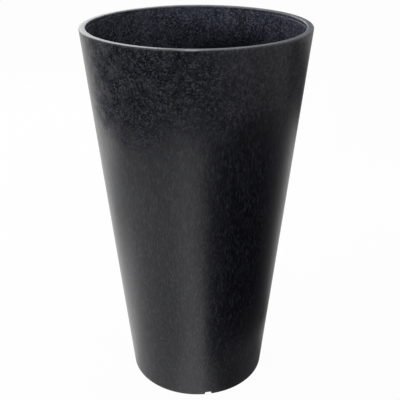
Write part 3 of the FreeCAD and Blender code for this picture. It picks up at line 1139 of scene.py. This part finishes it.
@dataclass
class Studio:
    """A plain pale floor, soft lamps, cards that model the pot's gloss, and the camera of the photograph."""

    CARDS = (
        Card("dark_card", (56.0, 170.5), 0.225, 1.34, 0.86, 0.01, (24.0, 9.0)),
        Card("deep_card", (88.0, 151.0), 0.29, 1.45, 0.90, 0.01, (16.0, 14.0)),
        Card("foot_card", (80.0, 165.0), 0.10, 0.26, 0.82, 0.01, (22.0, 15.0)),
        Card("side_card", (26.0, 80.0), 1.44, 6.00, 0.92, 0.02, (10.0, 10.0)),
        Card("dim_card", (62.0, 264.0), 1.15, 4.00, 0.50, 0.02, (7.0, 14.0)),
        Card("front_card", (181.0, 203.0), 0.13, 1.05, 0.75, 1.7, (8.0, 11.0)),
        Card("gleam_card", (172.0, 184.0), 0.10, 0.46, 0.55, 1.8, (5.0, 7.0)),
        Card("near_card", (194.0, 240.0), 0.08, 0.46, 0.15, 0.02, (7.0, 14.0)),
        Card("left_card", (-98.0, -58.0), 0.12, 0.60, 0.55, 1.8, (14.0, 10.0)),
        Card("shoulder_card", (-82.0, -54.0), 1.00, 3.00, 0.55, 2.2, (9.0, 8.0)),
        Card("window_card", (-60.0, -8.0), 0.20, 6.00, 0.50, 1.8),
    )
    LAMPS = (
        Lamp("window", -26.0, 2.5, 1.30, 0.70, (2.0, 1.0), 2.5),
        Lamp("overhead", -30.0, 0.4, 2.9, 0.45, (2.0, 2.0), 2.8),
        Lamp("front_fill", -140.0, 2.6, 1.7, 0.45, (1.6, 1.6), 2.2),
    )
    UNSEEN_BY = ("camera", "shadow", "transmission")
    GLOSS_ONLY = (*UNSEEN_BY, "diffuse")
    NEAR_FADE = (0.8, 1.2)
    FAR_FADE = (1.3, 0.7)
    CARD_GAP = 0.4 * MM
    ARC_STEPS = 24

    bearing_of_view: float = -8.95
    camera_distance: float = 1.1748
    camera_height: float = 0.9313
    camera_pitch: float = 26.294
    camera_roll: float = -0.212
    focal_pixels: float = 662.9
    image_pixels: float = 400.0
    centre_x: float = 196.92
    centre_y: float = 209.9
    sensor: float = 36.0
    camera_reach: float = 60.0
    floor_reach: float = 8.0
    floor_colour: Colour = (0.80, 0.80, 0.80)
    ambient: float = 0.35
    whiteness: float = 0.97
    screen_bearings: tuple[float, float] = (9.0, 70.0)
    screen_distance: float = 3.0
    screen_top: float = 2.6
    screen_brightness: float = 0.62

    def spot(self, bearing: float, distance: float, height: float) -> Vector:
        """A point of the studio.

        Args:
            bearing: the direction from the planter in degrees, clockwise from above, where 0 is straight away
                from the camera and 90 is to its right.
            distance: the distance from the planter's axis.
            height: the level above the floor.

        Returns:
            The point.
        """
        turn = math.radians(self.bearing_of_view)
        away = Vector((-math.sin(turn), math.cos(turn), 0.0))
        right = Vector((math.cos(turn), math.sin(turn), 0.0))
        angle = math.radians(bearing)
        level = away * math.cos(angle) * distance + right * math.sin(angle) * distance
        return level + Vector((0.0, 0.0, height))

    def camera(self) -> None:
        """Place the photograph's camera."""
        data = bpy.data.cameras.new("photo_camera")
        data.sensor_width = self.sensor
        data.lens = self.focal_pixels / self.image_pixels * self.sensor
        data.shift_x = (self.image_pixels / 2 - self.centre_x) / self.image_pixels
        data.shift_y = (self.centre_y - self.image_pixels / 2) / self.image_pixels
        data.clip_end = self.camera_reach
        eye = in_scene("photo_camera", data)
        eye.location = self.spot(180.0, self.camera_distance, self.camera_height)
        heading = Matrix.Rotation(math.radians(self.bearing_of_view), 3, "Z")
        pitch = Matrix.Rotation(math.radians(90.0 - self.camera_pitch), 3, "X")
        roll = Matrix.Rotation(math.radians(self.camera_roll), 3, "Z")
        eye.rotation_euler = (heading @ pitch @ roll).to_euler()
        bpy.context.scene.camera = eye

    def hang(self, lamp: Lamp) -> None:
        """Hang a lamp."""
        data = bpy.data.lights.new(lamp.name, "AREA")
        data.shape = "RECTANGLE"
        data.size, data.size_y = lamp.size
        data.energy = lamp.brightness * math.pi * lamp.size[0] * lamp.size[1]
        light = in_scene(lamp.name, data)
        light.location = self.spot(lamp.bearing, lamp.distance, lamp.level)
        toward = Vector((0.0, 0.0, lamp.aim)) - light.location
        light.rotation_euler = toward.to_track_quat("-Z", "Y").to_euler()

    def sheet(self, corners: Sequence[Vector], coat: Coat, unseen_by: Iterable[str] = ()) -> None:
        """Add a flat sheet of the studio, which isn't part of the planter.

        Args:
            corners: its corners.
            coat: its material, whose name it takes too.
            unseen_by: the kinds of ray that pass it by.
        """
        name = coat.material.name
        mesh = bpy.data.meshes.new(name)
        mesh.from_pydata([tuple(corner) for corner in corners], [], [tuple(range(len(corners)))])
        mesh.materials.append(coat.material)
        piece = in_scene(name, mesh)
        for kind in unseen_by:
            setattr(piece, f"visible_{kind}", False)

    @staticmethod
    def seen_directly(graph: Graph) -> Value:
        """1 for rays from the eye, off gloss and through glass, and 0 for the others."""
        path = graph.node("ShaderNodeLightPath")
        kinds = ("Camera", "Glossy", "Transmission")
        eye, gloss, glass = (path.out(f"Is {kind} Ray") for kind in kinds)
        return (eye + gloss + glass).unit()

    def floor(self) -> None:
        """Lay the pale floor: white paper with a faint shadow to the eye, and lit like any floor."""
        coat = Coat("studio_floor")
        paper = coat.node("ShaderNodeBsdfDiffuse", {"Color": self.floor_colour})
        coat.close(coat.mixed(self.seen_directly(coat) * self.whiteness, paper, coat.glow(1.0)))
        ends = ((-1, -1), (1, -1), (1, 1), (-1, 1))
        self.sheet([Vector((x * self.floor_reach, y * self.floor_reach, 0.0)) for x, y in ends], coat)

    def world(self) -> None:
        """A white backdrop to the eye and to glossy surfaces, and a soft even light to all else."""
        world = bpy.data.worlds.new("studio_backdrop")
        world.use_nodes = True
        graph = Graph(world.node_tree)
        world.node_tree.nodes.clear()
        strength = self.seen_directly(graph) * (1.0 - self.ambient) + self.ambient
        backdrop = graph.node("ShaderNodeBackground", {"Color": WHITE, "Strength": strength})
        graph.node("ShaderNodeOutputWorld", {"Surface": backdrop})
        bpy.context.scene.world = world

    def lay(self, card: Card, level: float) -> None:
        """Lay a card on the floor.

        Args:
            card: the card.
            level: its height above the floor, which no other card has.
        """
        coat = Coat(card.name)
        x, y, _ = coat.parts(coat.place())
        first, last = card.bearings
        ahead = self.spot((first + last) / 2, 1.0, 0.0)
        half = (last - first) / 2
        along = x * ahead.x + y * ahead.y
        aside = x * ahead.y - y * ahead.x
        turn = aside.call("ARCTAN2", along) * math.degrees(1.0)
        radius, _, _ = coat.radial(x, y)
        soft_first, soft_last = card.softness
        opens = turn.rise(-half - soft_first, -half + soft_first)
        closes = turn.rise(half + soft_last, half - soft_last)
        near, full_near = (card.near * share for share in self.NEAR_FADE)
        far, full_far = (card.far * share for share in self.FAR_FADE)
        cover = opens * closes * (radius.rise(near, full_near) * radius.rise(far, full_far)) * card.cover
        clear = coat.node("ShaderNodeBsdfTransparent")
        coat.close(coat.mixed(cover, clear, coat.glow(card.brightness)))

        # The sheet reaches no further than the card's faded edges do.
        start, end = first - soft_first, last + soft_last
        arc = [start + (end - start) * step / self.ARC_STEPS for step in range(self.ARC_STEPS + 1)]
        outer = [self.spot(bearing, far, level) for bearing in arc]
        inner = [self.spot(bearing, near, level) for bearing in reversed(arc)]
        self.sheet(outer + inner, coat, self.UNSEEN_BY if card.brightness < 1.0 else self.GLOSS_ONLY)

    def screen(self) -> None:
        """Stand a dim screen behind the pot, which only its gloss sees."""
        coat = Coat("dim_screen")
        coat.close(coat.glow(self.screen_brightness))
        first, last = self.screen_bearings
        sides = ((first, 0.0), (last, 0.0), (last, self.screen_top), (first, self.screen_top))
        corners = [self.spot(bearing, self.screen_distance, level) for bearing, level in sides]
        self.sheet(corners, coat, self.GLOSS_ONLY)

    def build(self) -> None:
        """Build the studio."""
        bpy.context.scene.view_settings.view_transform = "Standard"
        self.world()
        self.floor()
        for number, card in enumerate(self.CARDS, start=1):
            self.lay(card, number * self.CARD_GAP)
        self.screen()
        for lamp in self.LAMPS:
            self.hang(lamp)
        self.camera()


def main() -> None:
    """Build the planter piece by piece, then the studio."""
    logging.basicConfig(level=logging.INFO, format="%(name)s: %(message)s")
    pot = PotShell()
    for part in (pot, DrainFloor(pot), DrainPlug(), PlantingShelf(pot), Studio()):
        part.build()
        LOG.info("%s built", type(part).__name__)


if __name__ == "__main__":
    main()
